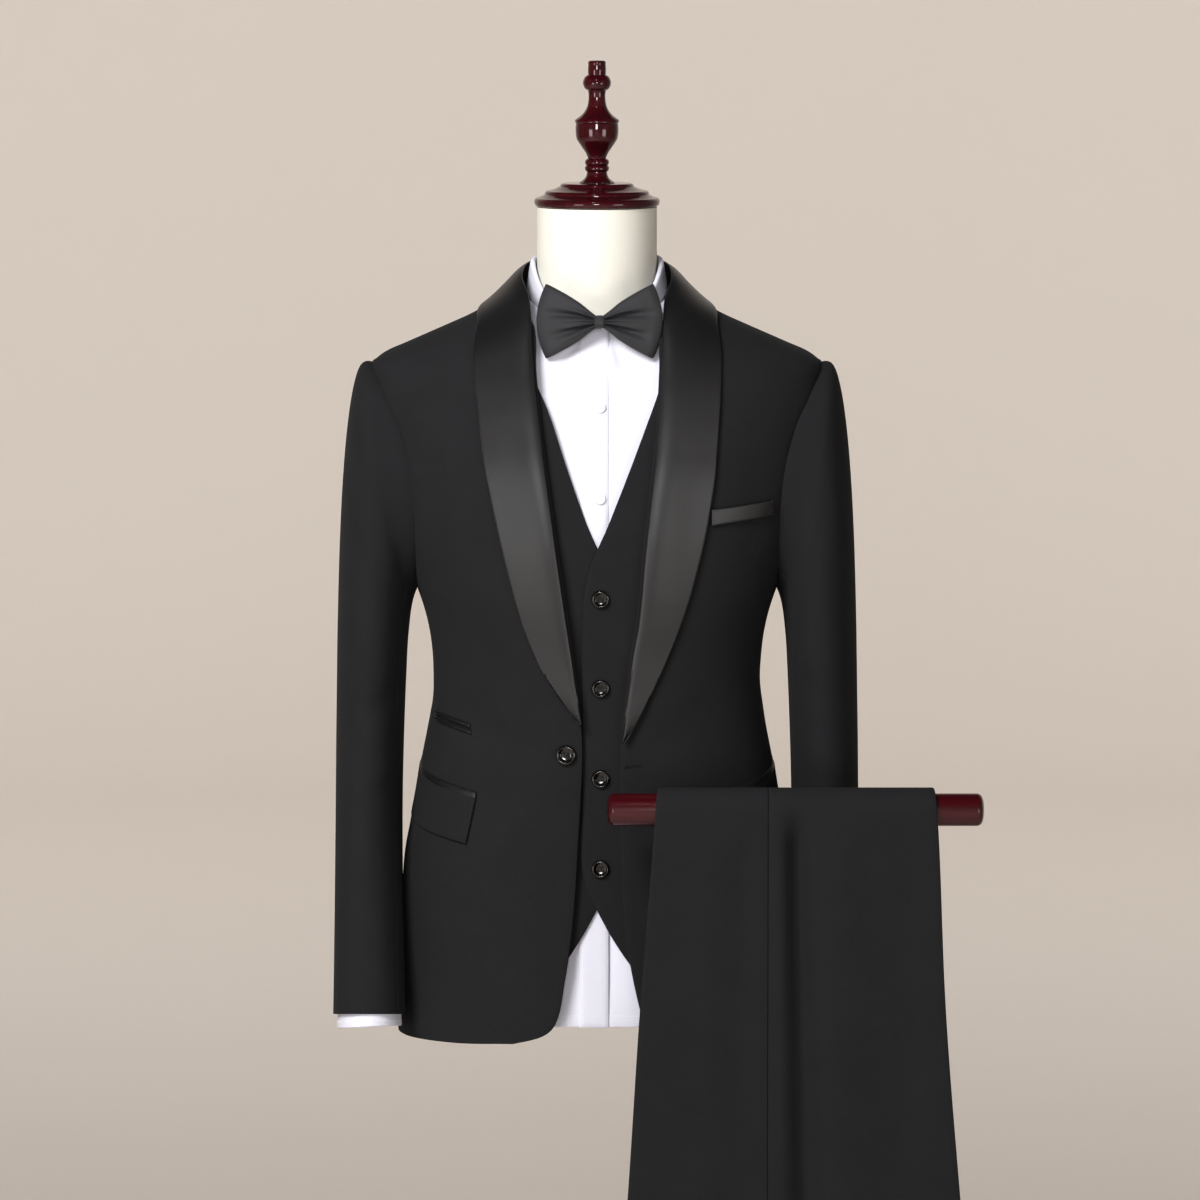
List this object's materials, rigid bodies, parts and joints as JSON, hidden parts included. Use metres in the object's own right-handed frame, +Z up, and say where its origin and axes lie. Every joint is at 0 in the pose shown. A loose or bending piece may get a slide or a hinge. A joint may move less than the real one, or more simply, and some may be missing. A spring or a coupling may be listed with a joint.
{
  "type": "tuxedo on a dress form",
  "caption": "Black shawl-collar tuxedo jacket over waistcoat, white shirt and bow tie on a wooden-capped dress form, its trousers folded over a side rod.",
  "frame": {"origin": "centre of the base's underside, on the floor", "axes": "+Z up, -Y the way the jacket faces, +X to the wearer's left; the form stands a little to the wearer's right of the column"},
  "size_m": [0.6834, 0.4072, 1.7139],
  "materials": {
    "wool": "fine worsted wool, matte",
    "satin": "silk satin, soft sheen",
    "shirting": "white cotton poplin",
    "jersey": "cream cotton jersey over the form",
    "dark_wood": "dark red-brown stain under gloss lacquer",
    "painted_steel": "satin black enamel",
    "horn": "polished black",
    "pearl": "polished, pearly white"
  },
  "bodies": {
    "root": {"arm_clamp": "painted_steel", "base": "dark_wood", "bow_band": "satin", "bow_knot": "satin", "bow_left": "satin", "bow_right": "satin", "breast_welt": "satin", "column": "painted_steel", "finial": "dark_wood", "form_body": "jersey", "jacket_back_left": "wool", "jacket_back_right": "wool", "jacket_button": "horn", "jacket_front_left": "wool", "jacket_front_right": "wool", "jacket_side_left": "wool", "jacket_side_right": "wool", "neck_cap": "dark_wood", "pocket_flap_left": "wool", "pocket_flap_right": "wool", "pocket_jet_left": "satin", "pocket_jet_right": "satin", "rod_arm": "painted_steel", "shawl_left": "satin", "shawl_right": "satin", "shirt_back": "shirting", "shirt_collar": "shirting", "shirt_cuff_left": "shirting", "shirt_cuff_right": "shirting", "shirt_front_left": "shirting", "shirt_front_right": "shirting", "shirt_placket": "shirting", "shirt_sleeve_left": "shirting", "shirt_sleeve_right": "shirting", "shirt_stud_1": "pearl", "shirt_stud_2": "pearl", "sleeve_top_left": "wool", "sleeve_top_right": "wool", "sleeve_under_left": "wool", "sleeve_under_right": "wool", "ticket_jet_lower": "satin", "ticket_jet_upper": "satin", "trouser_back_left": "wool", "trouser_back_right": "wool", "trouser_front_left": "wool", "trouser_front_right": "wool", "trouser_rod": "dark_wood", "vest_back": "wool", "vest_button_1": "horn", "vest_button_2": "horn", "vest_button_3": "horn", "vest_button_4": "horn", "vest_front_left": "wool", "vest_front_right": "wool", "waistband_left": "wool", "waistband_right": "wool"}
  },
  "joints": []
}
